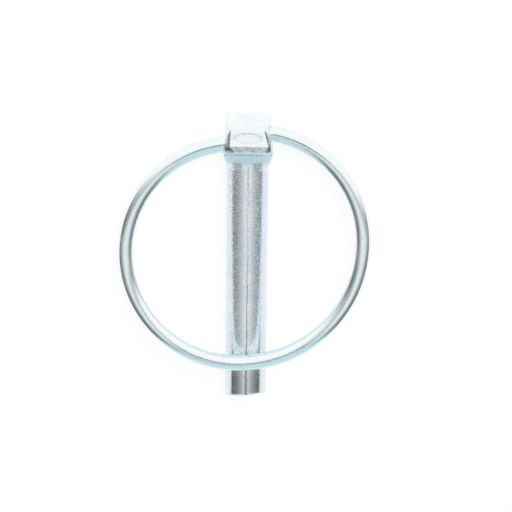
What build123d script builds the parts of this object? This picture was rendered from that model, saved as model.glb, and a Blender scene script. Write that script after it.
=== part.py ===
from build123d import *
import os
from math import asin, cos, radians, sin, sqrt, tan

# Linch pin: a round shank with a forged block head, and a spring-wire ring hinged in the head.
# Frame, in millimetres: X runs across the pin, Y along the shank towards the head and Z out of
# the pin's front, where the closed ring lies. The pin lies on its back, so +Z is also up.
# The origin is on the shank's axis, where the shoulder under the head starts.

# Shank
shank_diameter = 6.0
shank_length = 35.92  # from the origin to the middle of the cropped end
crop_angle_across = 5.0  # the end was cropped a little askew: longer on the left
crop_angle_front = 18.5  # and longer at the back
crop_edge = 0.22  # bevel round the cropped end

# Shoulder: a waist flares from the round shank to a square collar
collar_width = 7.0
collar_depth = 7.6
collar_corner = 0.8
collar_height = 0.34
collar_edge = 0.08  # bevel along the collar's top edge
collar_draft = 0.1  # the collar's top is this much in from its foot, all round
shoulder_height = 2.3
waist_height = 1.25
waist_growth = 0.72  # how much wider than the shank the waist is
waist_corner = 1.9
flare_start = -0.5  # the flare's surface starts inside the shank, this high
flare_sink = 0.16  # and this much narrower than it
flare_flat = 0.1  # width of the flats on its outline there
shoulder_shift = 0.06  # the shoulder sits a little to the right on the shank

# Head, stacked on the collar: a lip, a front bevel and a crowned top that rises to the back
head_width = 6.5
head_depth = 7.2
lip_height = 0.96
bevel_height = 1.84
bevel_depth = 1.12
top_rise = 1.27
top_crown = 0.25
top_corner = 0.7  # rounding of the top's corners, seen from the front
back_bevel_height = 0.7
back_bevel_depth = 0.4

# Facets on the front corners of the head, as (left, right)
crest_inset = (0.80, 0.90)  # crest's end, in from the side face
lip_top_inset = (0.68, 0.30)  # at the top of the lip
lip_foot_inset = (1.38, 0.68)  # at the foot of the lip
side_foot_depth = (0.8, 0.6)  # how far back the facet reaches on the side face
side_facet_drop = 1.45  # the facet beside the crest, down the side face from the crest
side_facet_back = 0.22  # and back from the crest there
side_facet_start = 0.45  # where that facet runs out along the top, as a share of the depth

# Shallow dish in the front bevel
dish_width = 4.4
dish_height = 1.5
dish_sag = 0.07
dish_from_crest = 0.92  # from the crest to the dish's middle, down the bevel

# Bore through the head, which leans so that its right mouth is nearer the top
bore_lean = 13.0
bore_above_collar = 1.06
bore_clearance = 0.07  # radial, round the ring's wire
end_gap = 1.6  # between the two wire ends inside the bore

# Ring
wire_diameter = 2.35
ring_gap = 0.05  # left between the closed ring and the shank
mouth_bend_r = 2.0  # where the wire leaves the head
right_mouth_turn = 24.9
left_mouth_turn = 5.4
ring_r = 16.27  # the bottom and the whole left side
ring_break_right = -8.6  # direction from the middle at which the right side turns flatter
ring_break_bottom = -101.3  # and at which the bottom arc begins

shank_r = shank_diameter / 2
wire_r = wire_diameter / 2
bore_r = wire_r + bore_clearance
lip_foot = shoulder_height + collar_height
lip_top = lip_foot + lip_height
crest = lip_top + bevel_height
back_crest = crest + top_rise
half_width = head_width / 2
front = head_depth / 2
crest_z = front - bevel_depth
waist_width = shank_diameter + waist_growth
flare_width = shank_diameter - flare_sink


def slice_off(a, b, c):
    """Cut the current part along the plane through three points and keep the inner side."""
    a, b, c = Vector(*a), Vector(*b), Vector(*c)
    normal = (b - a).cross(c - a)
    inside = Vector(0, (lip_foot + crest) / 2, 0)
    if normal.dot(inside - a) < 0:
        normal = -normal
    split(bisect_by=Plane(origin=a, z_dir=normal), keep=Keep.TOP)


# Head block: its side view is drawn once and drawn out across the pin
with BuildPart() as head_block:
    with BuildSketch(Plane.YZ) as side_view:
        with BuildLine():
            top = (
                (crest, crest_z),
                ((crest + back_crest) / 2 + top_crown, (crest_z - front + back_bevel_depth) / 2),
                (back_crest, back_bevel_depth - front),
            )
            ThreePointArc(*top)
            Polyline(top[2], (back_crest - back_bevel_height, -front), (shoulder_height, -front),
                     (shoulder_height, front), (lip_top, front), top[0])
        make_face()
    extrude(amount=half_width, both=True)
    with BuildSketch(Plane.XY) as front_view:
        with Locations((0, shoulder_height)):
            Rectangle(head_width, back_crest - shoulder_height, align=(Align.CENTER, Align.MIN))
        fillet(front_view.vertices().group_by(Axis.Y)[-1], top_corner)
    extrude(amount=head_depth, both=True, mode=Mode.INTERSECT)

    # Front corner facets, one pair beside the bevel and one beside the lip, and the top's side facets
    for side, across in enumerate((-1, 1)):
        crest_end = (across * (half_width - crest_inset[side]), crest, crest_z)
        lip_top_end = (across * (half_width - lip_top_inset[side]), lip_top, front)
        lip_foot_end = (across * (half_width - lip_foot_inset[side]), lip_foot, front)
        side_top = (across * half_width, crest - side_facet_drop, crest_z - side_facet_back)
        side_foot = (across * half_width, lip_foot, front - side_foot_depth[side])
        run_out = (across * half_width, crest + top_rise * side_facet_start + top_crown,
                   crest_z - head_depth * side_facet_start)
        slice_off(crest_end, lip_top_end, side_top)
        slice_off(lip_top_end, lip_foot_end, side_foot)
        slice_off(crest_end, side_top, run_out)

    # Dish: the outer side of a large torus, sunk into the bevel
    bevel_slope = Vector(0, -bevel_height, bevel_depth).normalized()
    bevel_normal = Vector(0, bevel_depth, bevel_height).normalized()
    dish_middle = Vector(0, crest, crest_z) + bevel_slope * dish_from_crest
    dish_r_across = (dish_width**2 / 4 + dish_sag**2) / (2 * dish_sag)
    dish_r_down = (dish_height**2 / 4 + dish_sag**2) / (2 * dish_sag)
    torus_middle = dish_middle + bevel_normal * (dish_r_across - dish_sag)
    with Locations(Plane(origin=torus_middle, x_dir=(1, 0, 0), z_dir=bevel_slope)):
        Torus(dish_r_across - dish_r_down, dish_r_down, mode=Mode.SUBTRACT)

# The pin: shoulder, shank and head in one forging
bore_middle = Vector(0, lip_foot + bore_above_collar, 0)
bore_direction = Vector(cos(radians(bore_lean)), sin(radians(bore_lean)), 0)

# Outlines of the flare and of the collar, as (height, shift, width, depth, corner)
collar_foot = (shoulder_height, shoulder_shift, collar_width, collar_depth, collar_corner)
flare = (
    (flare_start, 0, flare_width, flare_width, (flare_width - flare_flat) / 2),
    (waist_height, shoulder_shift, waist_width, waist_width, waist_corner),
    collar_foot,
)
collar_top = (lip_foot, shoulder_shift, collar_width - 2 * collar_draft,
              collar_depth - 2 * collar_draft, collar_corner)

with BuildPart() as pin:
    for outlines in (flare, (collar_foot, collar_top)):
        for height, shift, width, depth, corner in outlines:
            with BuildSketch(Plane.XZ.offset(-height)):
                with Locations((shift, 0)):
                    RectangleRounded(width, depth, corner)
        loft()
    chamfer(pin.faces().sort_by(Axis.Y)[-1].edges(), collar_edge)
    with BuildSketch(Plane.XZ) as shank_section:
        Circle(shank_r)
    extrude(amount=shank_length + shank_diameter)
    crop_normal = Vector(-tan(radians(crop_angle_across)), 1, -tan(radians(crop_angle_front)))
    split(bisect_by=Plane(origin=(0, -shank_length, 0), z_dir=crop_normal), keep=Keep.TOP)
    chamfer(pin.faces().sort_by(Axis.Y)[0].edges(), crop_edge)
    add(head_block.part)
    with BuildSketch(Plane(origin=bore_middle, z_dir=bore_direction)) as bore_section:
        Circle(bore_r)
    extrude(amount=collar_width, both=True, mode=Mode.SUBTRACT)

pin.part.label = "pin"

# Ring: drawn in its own plane, with the bore along x and the bottom of the ring towards -y.
# Three tangent arcs close it. The first two radii follow from the third and from the two breaks.
mouth_x = half_width / cos(radians(bore_lean))


def heading(angle):
    """Unit vector in the ring's plane."""
    return Vector(cos(radians(angle)), sin(radians(angle)))


right_start = 90 - right_mouth_turn
left_end = 90 - left_mouth_turn - 360
right_bend_middle = Vector(mouth_x, -mouth_bend_r)
left_bend_middle = Vector(-mouth_x, mouth_bend_r)
ring_start = right_bend_middle + heading(right_start) * mouth_bend_r
ring_end = left_bend_middle - heading(left_end) * mouth_bend_r

step_1 = heading(ring_break_right) - heading(right_start)
step_2 = heading(ring_break_bottom) - heading(ring_break_right)
rest = ring_end - ring_start - (heading(left_end) - heading(ring_break_bottom)) * ring_r
turn = step_1.X * step_2.Y - step_1.Y * step_2.X
upper_right_r = (rest.X * step_2.Y - rest.Y * step_2.X) / turn
lower_right_r = (step_1.X * rest.Y - step_1.Y * rest.X) / turn
upper_right_middle = ring_start - heading(right_start) * upper_right_r
lower_right_middle = upper_right_middle + heading(ring_break_right) * (upper_right_r - lower_right_r)
ring_middle = lower_right_middle + heading(ring_break_bottom) * (lower_right_r - ring_r)

# The closed ring leans forward until its bottom lies on the shank's front
down = Vector(-sin(radians(bore_lean)), -cos(radians(bore_lean)))
to_middle = ring_middle.dot(down)
ring_drop = to_middle + sqrt(to_middle**2 - ring_middle.dot(ring_middle) + ring_r**2)
bottom_from_axis = ring_drop * cos(radians(bore_lean))
closed_angle = asin((shank_r + wire_r + ring_gap) / bottom_from_axis)
bore_up = Vector(-sin(radians(bore_lean)), cos(radians(bore_lean)), 0)
ring_up = bore_up * cos(closed_angle) - Vector(0, 0, 1) * sin(closed_angle)
ring_plane = Plane(origin=bore_middle, x_dir=bore_direction, z_dir=bore_direction.cross(ring_up))

with BuildPart() as ring:
    with BuildLine(ring_plane) as wire_path:
        Line((end_gap / 2, 0), (mouth_x, 0))
        CenterArc(tuple(right_bend_middle), mouth_bend_r, 90, -right_mouth_turn)
        CenterArc(tuple(upper_right_middle), upper_right_r, right_start, ring_break_right - right_start)
        CenterArc(tuple(lower_right_middle), lower_right_r, ring_break_right,
                  ring_break_bottom - ring_break_right)
        CenterArc(tuple(ring_middle), ring_r, ring_break_bottom, left_end - ring_break_bottom)
        CenterArc(tuple(left_bend_middle), mouth_bend_r, -90 - left_mouth_turn, left_mouth_turn)
        Line((-mouth_x, 0), (-end_gap / 2, 0))
    with BuildSketch(Plane(origin=ring_plane.from_local_coords((end_gap / 2, 0, 0)), z_dir=bore_direction)):
        Circle(wire_r)
    sweep(path=wire_path.wires()[0])

ring.part.label = "ring"

os.makedirs("parts", exist_ok=True)
export_step(pin.part, "parts/pin.step")
export_step(ring.part, "parts/ring.step")
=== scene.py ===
from math import cos, radians, sin

import bmesh
import bpy
from mathutils import Matrix, Vector

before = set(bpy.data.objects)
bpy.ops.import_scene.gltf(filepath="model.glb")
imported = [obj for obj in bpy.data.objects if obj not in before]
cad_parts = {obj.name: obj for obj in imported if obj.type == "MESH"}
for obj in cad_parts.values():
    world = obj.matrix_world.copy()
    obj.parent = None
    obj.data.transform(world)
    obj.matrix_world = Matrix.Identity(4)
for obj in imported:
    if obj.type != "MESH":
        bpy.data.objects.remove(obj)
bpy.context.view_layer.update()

MM = 0.001
WHITE = (1.0, 1.0, 1.0)
BLACK = (0.0, 0.0, 0.0)


def mm(*lengths):
    """Lengths in millimetres, turned into metres."""
    return tuple(length * MM for length in lengths)


# Shader maths

class Field:
    """The output of a node, which takes part in sums as a number would."""

    def __init__(self, tree, socket):
        self.tree = tree
        self.socket = socket

    def math(self, operation, *terms):
        return self.tree.node("ShaderNodeMath", {"operation": operation}, dict(enumerate(terms)))

    def most(self, other):
        return self.math("MAXIMUM", self, other)

    def least(self, other):
        return self.math("MINIMUM", self, other)

    def __add__(self, other):
        return self.math("ADD", self, other)

    def __radd__(self, other):
        return self.math("ADD", other, self)

    def __sub__(self, other):
        return self.math("SUBTRACT", self, other)

    def __rsub__(self, other):
        return self.math("SUBTRACT", other, self)

    def __mul__(self, other):
        return self.math("MULTIPLY", self, other)

    def __rmul__(self, other):
        return self.math("MULTIPLY", other, self)

    def __truediv__(self, other):
        return self.math("DIVIDE", self, other)

    def __pow__(self, other):
        return self.math("POWER", self, other)

    def __neg__(self):
        return self.math("MULTIPLY", self, -1.0)

    def __abs__(self):
        return self.math("ABSOLUTE", self)


class Tree:
    """The node tree of a material or of the world."""

    def __init__(self, owner):
        owner.use_nodes = True
        self.nodes = owner.node_tree.nodes
        self.links = owner.node_tree.links
        self.nodes.clear()

    def node(self, kind, settings=None, sockets=None, out=0):
        """Add a node with its settings and its inputs, and return one of its outputs."""
        made = self.nodes.new(kind)
        for name, value in (settings or {}).items():
            setattr(made, name, value)
        for name, value in (sockets or {}).items():
            socket = self.find(made.inputs, name)
            if isinstance(value, Field):
                self.links.new(value.socket, socket)
            elif isinstance(value, tuple) and len(socket.default_value) == 4:
                socket.default_value = (*value, 1.0)
            else:
                socket.default_value = value
        return Field(self, self.find(made.outputs, out))

    @staticmethod
    def find(sockets, name):
        """The socket with this number, name or identifier."""
        if isinstance(name, int):
            return sockets[name]
        return next(s for s in sockets if name in (s.identifier, s.name))

    def rise(self, value, low, high, start=0.0, end=1.0):
        """A soft step from start, where the value is below low, to end, where it is above high."""
        return self.node("ShaderNodeMapRange", {"interpolation_type": "SMOOTHSTEP"},
                         {"Value": value, "From Min": low, "From Max": high,
                          "To Min": start, "To Max": end})

    def fall(self, value, low, high):
        """1 below low, 0 above high and a soft step between them."""
        return self.rise(value, low, high, 1.0, 0.0)

    def band(self, value, low, high, edge):
        """1 between low and high, and 0 outside, with soft edges."""
        return self.rise(value, low - edge, low + edge) * self.fall(value, high - edge, high + edge)

    def blend(self, mask, low, high):
        """A colour that goes from low to high as the mask goes from 0 to 1."""
        return self.node("ShaderNodeMix", {"data_type": "RGBA"},
                         {"Factor_Float": mask, "A_Color": low, "B_Color": high}, "Result_Color")

    def ramp(self, value, stops):
        """A colour that runs through the stops, each with its value and its colour."""
        colour = self.node("ShaderNodeValToRGB", {}, {"Fac": value}, "Color")
        elements = colour.socket.node.color_ramp.elements
        while len(elements) < len(stops):
            elements.new(0.5)
        for element, (position, tint) in zip(elements, stops):
            element.position = position
            element.color = (*tint, 1.0)
        return colour

    def noise(self, place, scale, detail, roughness):
        return self.node("ShaderNodeTexNoise", {},
                         {"Vector": place, "Scale": scale, "Detail": detail, "Roughness": roughness})

    def split(self, vector):
        """The X, Y and Z of a vector."""
        node = self.node("ShaderNodeSeparateXYZ", {}, {"Vector": vector}).socket.node
        return [Field(self, output) for output in node.outputs]

    def finish(self, surface, output="ShaderNodeOutputMaterial"):
        self.links.new(surface.socket, self.nodes.new(output).inputs["Surface"])


# Both finishes

# Noises, as scale, detail and roughness
FORGED_GRAIN = (6500, 3, 0.6)
FORGED_SCALE = (1800, 3, 0.55)
FORGED_CLOUDS = (260, 2, 0.5)
DRAWN_GRAIN = (6500, 3, 0.5)
DRAWN_CLOUDS = (380, 2, 0.5)

# How deep the grain looks, and how far the edges look rounded
FORGED_DEPTH = 0.010 * MM
FORGED_EDGE = 0.2 * MM
DRAWN_DEPTH = 0.004 * MM
DRAWN_EDGE = 0.1 * MM
EDGE_SAMPLES = 6


def new_finish(name):
    """A new material and its tree, the place on the piece, and how far the surface faces X, Y and Z."""
    material = bpy.data.materials.new(name)
    tree = Tree(material)
    place = tree.node("ShaderNodeTexCoord", {}, {}, "Object")
    facing = tree.split(tree.node("ShaderNodeTexCoord", {}, {}, "Normal"))
    return material, tree, place, facing


def zinc(tree, colour, roughness, height, depth, edge):
    """Plated metal with a grain that is depth metres deep and edges rounded by edge metres."""
    rounded = tree.node("ShaderNodeBevel", {"samples": EDGE_SAMPLES}, {"Radius": edge})
    normal = tree.node("ShaderNodeBump", {},
                       {"Strength": 1.0, "Distance": depth, "Height": height, "Normal": rounded})
    return tree.node("ShaderNodeBsdfPrincipled", {},
                     {"Base Color": colour, "Metallic": 1.0, "Roughness": roughness, "Normal": normal})


# Finish of the pin

PIN_WHITE = (0.93, 0.96, 0.97)
PIN_BLUE = (0.83, 0.92, 0.965)
PIN_GREY = (0.66, 0.70, 0.72)
# Grey of the tip: painted shade from the ring
PIN_TIP_SHADED = (0.66, 0.69, 0.705)
PIN_SHEARED = (0.56, 0.61, 0.64)
# Painted shade on the head's corner facets
PAINTED_FACET_SHADE = (0.16, 0.19, 0.21)
# Painted blue reflection in the shoulder
PAINTED_SHOULDER_BLUE = (0.72, 0.88, 0.945)
# Painted dark reflections on the flare and painted shade round the dish
PAINTED_DARK_GREY = (0.44, 0.47, 0.48)
# Painted blue reflection on the surfaces that face sideways
PAINTED_SIDE_BLUE = (0.78, 0.88, 0.97)
# Painted darker blue reflection in the collar
PAINTED_COLLAR_BLUE = (0.42, 0.68, 0.80)
# Painted dark reflection along the shank's front
PAINTED_LINE_DARK = (0.26, 0.28, 0.29)

# Zones in the part's frame. Two lengths are the ends of a soft step. Three are a band: where it
# begins, where it ends and how soft its edges are.
TIP_STEP = mm(-32.5, -29.5)
HEAD_STEP = mm(2.64, 2.9)
# Above this step the painted blue reflection on the sides reaches further round
SIDE_STEP = mm(-0.4, 0.2)  # above this the sides' blue reaches further round

# Shoulder
SHOULDER_BAND = mm(0.8, 2.4, 0.5)
COLLAR_BAND = mm(2.28, 2.64, 0.06)
COLLAR_FRONT = mm(3.0, 3.6)
COLLAR_ACROSS = mm(1.4, 3.0)
# Painted dark reflections on the flare's front
FLARE_DARK_ACROSS = mm(0.8, 2.1, 0.3)
FLARE_DARK_ALONG = mm(-0.3, 1.1, 0.3)
FLARE_DARK_FRONT = mm(1.2, 1.8)

# Head
LIP_TOP = mm(3.55, 3.65)
LIP_FRONT = mm(3.4, 3.55)
FACET_FRONT = mm(1.8, 2.4)
FACET_OUTER = mm(2.7, 3.1)
FACET_UPPER = mm(3.4, 4.0)

# Dish in the head's bevel, round whose edge shade is painted
DISH_MIDDLE = 4.66 * MM
DISH_HALF_WIDTH = 2.0 * MM
DISH_HALF_HEIGHT = 0.6 * MM
RIM_FRONT = mm(2.2, 2.4)

# Painted dark reflection along the front
LINE_ACROSS = mm(0.02, 0.20, 0.05)
LINE_WANDER = 0.3 * MM
LINE_FRONT = mm(2.5, 2.8)
LINE_TOP = mm(-0.2, 0.8)
LINE_LOWER = mm(-24, -8)
LINE_UPPER = mm(-4, -1)
TIP_LINE_ACROSS = mm(-0.12, 0.30, 0.06)

# Zones without a length
FACET_FACING = (0.36, 0.94, 0.04)  # a band of how far the surface faces sideways
SIDE_FACING = (0.66, 0.84)  # a step of the same
RIM_BAND = (0.75, 1.25, 0.12)  # a band round the dish's edge, which is at 1


def shoulder_marks(tree, x, y, z, grain):
    """Masks of the shoulder's painted blue reflection, of the collar's painted darker blue reflection
    and of two painted dark reflections on the flare's front.
    """
    shoulder = tree.band(y, *SHOULDER_BAND)
    collar_reflection = tree.band(y, *COLLAR_BAND) * tree.rise(z, *COLLAR_FRONT)
    collar_reflection = collar_reflection * tree.rise(abs(x), *COLLAR_ACROSS, 1.0, 0.3)
    flare_reflection = tree.band(abs(x), *FLARE_DARK_ACROSS) * tree.band(y, *FLARE_DARK_ALONG) * tree.rise(z, *FLARE_DARK_FRONT)
    return shoulder, collar_reflection, flare_reflection * tree.rise(grain, 0.35, 0.60, 0.6, 1.0)


def head_marks(tree, x, y, z, sideways):
    """Masks of the head, of its lip, which was trimmed after forging, and of painted shade on its corner
    facets.
    """
    head = tree.rise(y, *HEAD_STEP)
    lip = head * tree.fall(y, *LIP_TOP) * tree.rise(z, *LIP_FRONT)
    facet_shade = head * tree.rise(z, *FACET_FRONT) * tree.band(sideways, *FACET_FACING)
    # The painted shade on the facets beside the bevel pales towards the side faces
    pale = tree.rise(abs(x), *FACET_OUTER) * tree.rise(y, *FACET_UPPER)
    return head, lip, facet_shade * (1 - 0.75 * pale)


def dish_edge_shade(tree, x, y, z, grain):
    """Mask of painted shade round the edge of the dish in the bevel, which is clearer on its upper side.
    """
    across = x / DISH_HALF_WIDTH
    up = (y - DISH_MIDDLE) / DISH_HALF_HEIGHT
    rim_shade = tree.band(across * across + up * up, *RIM_BAND) * tree.rise(z, *RIM_FRONT)
    return rim_shade * tree.rise(grain, 0.42, 0.58, 0.25, 1.0) * tree.rise(up, -0.4, 0.6, 0.35, 1.0)


def centre_reflection_mask(tree, x, y, z, tip, grain, scale, clouds):
    """Mask of a painted dark reflection along the shank's front, broader at the tip."""
    front = tree.rise(z, *LINE_FRONT)
    centre_reflection = tree.band(x - LINE_WANDER * (clouds - 0.5), *LINE_ACROSS) * front * tree.fall(y, *LINE_TOP)
    strength = tree.rise(y, *LINE_LOWER, 0.68, 0.28) + tree.rise(y, *LINE_UPPER, 0.0, 0.3) + 0.3 * tip
    centre_reflection = centre_reflection * strength * tree.rise(scale, 0.40, 0.60, 0.7, 1.2)
    broad = tree.band(x, *TIP_LINE_ACROSS) * front * tip * tree.rise(grain, 0.40, 0.58, 0.3, 0.9)
    return centre_reflection.most(broad)


def forged_zinc():
    """Forged steel under zinc: a matt grain, painted blue reflection in the shoulder, and a smoother tip
    greyed by painted shade.
    """
    material, tree, place, facing = new_finish("forged_zinc")
    x, y, z = tree.split(place)
    sideways = abs(facing[0])
    grain = tree.noise(place, *FORGED_GRAIN)
    scale = tree.noise(place, *FORGED_SCALE)
    clouds = tree.noise(place, *FORGED_CLOUDS)
    tip = tree.fall(y, *TIP_STEP)
    shoulder, collar_reflection, flare_reflection = shoulder_marks(tree, x, y, z, grain)
    head, lip, facet_shade = head_marks(tree, x, y, z, sideways)
    rim_shade = dish_edge_shade(tree, x, y, z, grain)
    centre_reflection = centre_reflection_mask(tree, x, y, z, tip, grain, scale, clouds)

    # Tints of the plating, with painted shade on the tip and painted blue reflections on the sides, the
    # shoulder and the collar
    colour = tree.blend(tree.rise(clouds, 0.40, 0.65) * (1 - 0.6 * head), PIN_WHITE, PIN_BLUE)
    # The tip is greyed with painted shade from the ring
    colour = tree.blend(tip, colour, PIN_TIP_SHADED)
    # Painted blue reflection on the surfaces that face sideways
    side_reflection = tree.rise(sideways + 0.25 * tree.rise(y, *SIDE_STEP), *SIDE_FACING)
    colour = tree.blend(0.8 * side_reflection * (1 - head), colour, PAINTED_SIDE_BLUE)
    # Painted blue reflection in the shoulder
    colour = tree.blend(shoulder, colour, PAINTED_SHOULDER_BLUE)
    # Painted darker blue reflection in the collar
    colour = tree.blend(collar_reflection, colour, PAINTED_COLLAR_BLUE)

    # Dull and dark marks, with painted dark reflections on the flare and along the front, and painted
    # shade on the corner facets and round the dish
    # Painted dark reflections on the flare's front
    colour = tree.blend(0.95 * flare_reflection, colour, PAINTED_DARK_GREY)
    colour = tree.blend(lip * tree.rise(scale, 0.45, 0.62, 1.0, 0.3), colour, PIN_SHEARED)
    colour = tree.blend(tree.rise(scale, 0.56, 0.74, 0.0, 0.2), colour, PIN_GREY)
    # Painted shade on the corner facets
    colour = tree.blend(facet_shade * tree.rise(grain, 0.20, 0.45, 0.0, 0.9), colour, PAINTED_FACET_SHADE)
    # Painted shade round the dish's edge
    colour = tree.blend(0.8 * rim_shade, colour, PAINTED_DARK_GREY)
    # Painted dark reflection along the shank's front, broader at the tip
    colour = tree.blend(centre_reflection, colour, PAINTED_LINE_DARK)

    # The share of matt grain is lower at the tip and higher on the head and the shoulder
    roughness = tree.rise(grain - 0.10 * tip + 0.04 * head + 0.10 * shoulder, 0.44, 0.56, 0.10, 0.60)
    height = (0.6 * grain + 0.7 * scale) * (1 - 0.5 * shoulder)
    tree.finish(zinc(tree, colour, roughness, height, FORGED_DEPTH, FORGED_EDGE))
    return material


# Finish of the ring

RING_WHITE = (0.87, 0.93, 0.95)
# Painted cyan reflection where the wire faces the tip
PAINTED_RING_CYAN = (0.66, 0.88, 0.92)
# Painted dark reflection streak beside the cyan
PAINTED_RING_STREAK = (0.33, 0.36, 0.38)

CYAN_ALONG = (-0.04, 0.06)  # a step of how far the surface faces the head
CYAN_SIDEWAYS = (0.36, 0.50)  # and of how far it faces sideways
STREAK_ALONG = (0.05, 0.22, 0.05)  # a band of how far it faces the head
STREAK_ACROSS = mm(8, 13)  # a step of the distance from the pin's middle


def drawn_zinc():
    """Drawn spring wire under zinc, with a painted cyan reflection where it faces the tip and a painted
    dark reflection beside it.
    """
    material, tree, place, facing = new_finish("drawn_zinc")
    x = tree.split(place)[0]
    grain = tree.noise(place, *DRAWN_GRAIN)
    clouds = tree.noise(place, *DRAWN_CLOUDS)
    cyan_reflection = tree.fall(facing[1], *CYAN_ALONG) * tree.fall(abs(facing[0]), *CYAN_SIDEWAYS)
    dark_streak = tree.band(facing[1] + 0.1 * (clouds - 0.5), *STREAK_ALONG) * tree.fall(abs(x), *STREAK_ACROSS)
    # Painted cyan reflection where the wire faces the tip
    colour = tree.blend(cyan_reflection * (0.75 + 0.25 * clouds), RING_WHITE, PAINTED_RING_CYAN)
    # Painted dark reflection streak beside the cyan
    colour = tree.blend(dark_streak * tree.rise(grain, 0.42, 0.58, 0.35, 0.95), colour, PAINTED_RING_STREAK)
    roughness = tree.rise(grain, 0.52, 0.62, 0.08, 0.32)
    tree.finish(zinc(tree, colour, roughness, grain, DRAWN_DEPTH, DRAWN_EDGE))
    return material


for node, material in (("pin", forged_zinc()), ("ring", drawn_zinc())):
    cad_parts[node].data.materials.clear()
    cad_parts[node].data.materials.append(material)


# Floor

# The pin lies on the back edge of its collar and on the back of its cropped end, each (y, z)
COLLAR_REST = mm(2.3, -3.8)
TIP_REST = mm(-36.6, -3.0)
FLOOR_SIZE = 6.0
PAPER = (0.93, 0.93, 0.93)
SHADOW_REACH = (0.03, 0.10)  # the step, in metres from the pin, beyond which it is plain white
SHADOW_SHARE = 0.12  # how much of the floor near the pin is paper, which shows its shadow


def floor_paper():
    """Paper that shows as white, to the camera and in the metal, and keeps a pale shadow."""
    material = bpy.data.materials.new("floor_paper")
    tree = Tree(material)
    x, y, _ = tree.split(tree.node("ShaderNodeTexCoord", {}, {}, "Object"))
    away = (x * x + y * y) ** 0.5
    camera, glossy, through = (tree.node("ShaderNodeLightPath", {}, {}, f"Is {name} Ray")
                               for name in ("Camera", "Glossy", "Transmission"))
    seen = (camera + glossy + through).least(1.0)
    share = seen * tree.rise(away, *SHADOW_REACH, 1 - SHADOW_SHARE, 1.0)
    paper = tree.node("ShaderNodeBsdfDiffuse", {}, {"Color": PAPER})
    white = tree.node("ShaderNodeEmission", {}, {"Color": WHITE, "Strength": 1.0})
    tree.finish(tree.node("ShaderNodeMixShader", {}, {0: share, 1: paper, 2: white}))
    return material


def lay_floor():
    mesh = bpy.data.meshes.new("floor")
    sheet = bmesh.new()
    bmesh.ops.create_grid(sheet, x_segments=2, y_segments=2, size=FLOOR_SIZE / 2)
    across = Vector((1, 0, 0))
    along = Vector((0, COLLAR_REST[0] - TIP_REST[0], COLLAR_REST[1] - TIP_REST[1])).normalized()
    place = Matrix((across, along, across.cross(along))).transposed().to_4x4()
    place.translation = Vector((0, *COLLAR_REST))
    bmesh.ops.transform(sheet, matrix=place, verts=sheet.verts)
    sheet.to_mesh(mesh)
    sheet.free()
    mesh.materials.append(floor_paper())
    floor = bpy.data.objects.new("floor", mesh)
    bpy.context.scene.collection.objects.link(floor)


lay_floor()


# Light

# The studio gives each direction from the part a colour: x is to the right, y towards the head's
# side and z up, each from -1 to 1. A pair is a soft step, and three numbers are a band.

# Overhead box: its colours from the middle out, and where they change
OVERHEAD = (
    (0.0, (0.93, 0.94, 0.945)),
    (0.3, (0.80, 0.81, 0.815)),
    (0.5, (0.55, 0.56, 0.565)),
    (0.74, (0.34, 0.35, 0.355)),
    (0.9, (0.22, 0.23, 0.235)),
    (1.0, (0.17, 0.18, 0.185)),
)
OVERHEAD_LEFT = 0.07  # how much sooner the box falls off on the left
OVERHEAD_WIDENS = (-0.30, -0.05)
OVERHEAD_NARROWS = (-0.58, -0.36)
OPENING_ALONG = (-0.02, 0.20, 0.07)
SEAM_ACROSS = (-0.10, 0.12, 0.04)
SEAM_ALONG = (-0.50, 0.00, 0.08)
SEAM = (0.28, 0.29, 0.30)

# Box in front
FRONT_BOX = (0.78, 0.86, 0.89)
FRONT_ALONG = (-0.74, -0.48)
FRONT_ACROSS = (0.20, 0.48)
FRONT_WIDENS = (-0.95, -0.60)

# Boxes behind the head
BACK_BOX = (1.04, 1.035, 1.03)
BACK_ALONG = (0.14, 0.54)
BACK_RIGHT = (0.3, 0.8)
BACK_LEFT = (0.3, 0.7)

# Gap over the floor
FLOOR_GAP = (0.23, 0.24, 0.25)
GAP_ACROSS = (0.55, 0.85)
GAP_ALONG = (0.1, 0.4)
GAP_HEIGHT = (0.03, 0.13)

# Lamp, in metres and watts
KEY_PLACE = (0.15, 0.45, 0.75)
KEY_SIZE = 0.5
KEY_WATTS = 5.6


def overhead_box(tree, x, y):
    """A soft box overhead that falls off to both sides, later at the back and sooner in front."""
    wide = tree.rise(y, *OVERHEAD_WIDENS)
    left = OVERHEAD_LEFT - 0.22 * wide - x
    right = x - 0.25 * wide
    level = tree.ramp(left.most(right) + tree.rise(y, *OVERHEAD_NARROWS, 0.28, 0.0), OVERHEAD)
    # The opening behind the box, right across the studio, and the seam along the box's middle
    level = tree.blend(0.40 * tree.band(y, *OPENING_ALONG), level, BLACK)
    seam = tree.band(x, *SEAM_ACROSS) * tree.band(y, *SEAM_ALONG)
    return tree.blend(0.15 * seam, level, SEAM)


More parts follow.
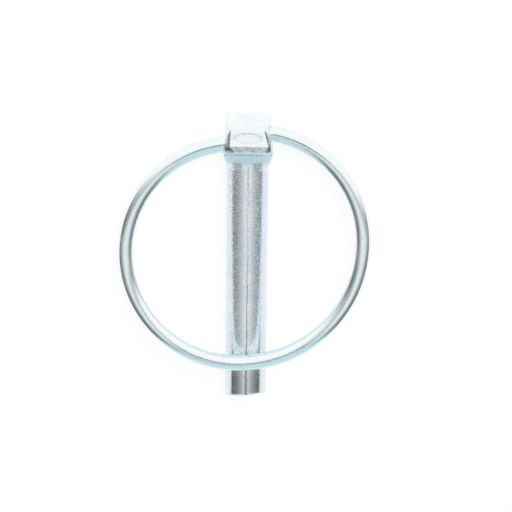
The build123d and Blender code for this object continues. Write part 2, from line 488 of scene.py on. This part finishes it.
def studio():
    """What the metal mirrors: soft boxes all round and a dark gap over the floor."""
    world = bpy.data.worlds.new("studio")
    bpy.context.scene.world = world
    tree = Tree(world)
    x, y, z = tree.split(tree.node("ShaderNodeTexCoord", {}, {}, "Generated"))
    level = overhead_box(tree, x, y)
    # A pale box in front, wider further out
    across = abs(x) - tree.rise(y, *FRONT_WIDENS, 0.4, 0.0)
    level = tree.blend(tree.fall(y, *FRONT_ALONG) * tree.fall(across, *FRONT_ACROSS), level, FRONT_BOX)
    # White boxes behind the head, which reach further forward on the right than on the left
    reach = y + tree.rise(x, *BACK_RIGHT, 0.0, 0.20) - tree.rise(-x, *BACK_LEFT, 0.0, 0.05)
    level = tree.blend(tree.rise(reach, *BACK_ALONG), level, BACK_BOX)
    # The dark gap between the boxes at the sides and the floor
    gap = tree.rise(abs(x), *GAP_ACROSS) * tree.fall(y, *GAP_ALONG) * tree.fall(z, *GAP_HEIGHT)
    level = tree.blend(gap, level, FLOOR_GAP)
    ray = tree.node("ShaderNodeLightPath", {}, {}, "Is Camera Ray")
    shown = tree.blend(ray, level, WHITE)
    tree.finish(tree.node("ShaderNodeBackground", {}, {"Color": shown, "Strength": 1.0}),
                "ShaderNodeOutputWorld")


def key_light():
    """A large soft lamp on the head's side, which casts the part's shadow. Metal doesn't mirror it."""
    lamp = bpy.data.lights.new("key", "AREA")
    lamp.shape = "DISK"
    lamp.size = KEY_SIZE
    lamp.energy = KEY_WATTS
    key = bpy.data.objects.new("key", lamp)
    key.location = KEY_PLACE
    key.rotation_euler = (-Vector(KEY_PLACE)).to_track_quat("-Z", "Y").to_euler()
    key.visible_glossy = False
    key.visible_camera = False
    bpy.context.scene.collection.objects.link(key)


studio()
key_light()


# Camera

CAMERA_LEAN = radians(20.0)  # from straight above, towards the head
CAMERA_ROLL = radians(0.7076)
CAMERA_DISTANCE = 300 * MM
CAMERA_NEAR = 10 * MM
AIM = Vector(mm(1.347, -14.072, 0.0))
SENSOR = 36.0  # in millimetres
FOCAL_PIXELS = 2058.0
PHOTO_PIXELS = 512.0


def set_camera():
    lens = bpy.data.cameras.new("camera")
    lens.sensor_width = SENSOR
    lens.lens = SENSOR * FOCAL_PIXELS / PHOTO_PIXELS
    lens.clip_start = CAMERA_NEAR
    back = Vector((0, sin(CAMERA_LEAN), cos(CAMERA_LEAN)))
    right = Vector((1, 0, 0))
    up = back.cross(right)
    rolled_right = cos(CAMERA_ROLL) * right + sin(CAMERA_ROLL) * up
    rolled_up = -sin(CAMERA_ROLL) * right + cos(CAMERA_ROLL) * up
    place = Matrix((rolled_right, rolled_up, back)).transposed().to_4x4()
    place.translation = AIM + CAMERA_DISTANCE * back
    camera = bpy.data.objects.new("camera", lens)
    camera.matrix_world = place
    bpy.context.scene.collection.objects.link(camera)
    bpy.context.scene.camera = camera


set_camera()
bpy.context.scene.view_settings.view_transform = "Standard"
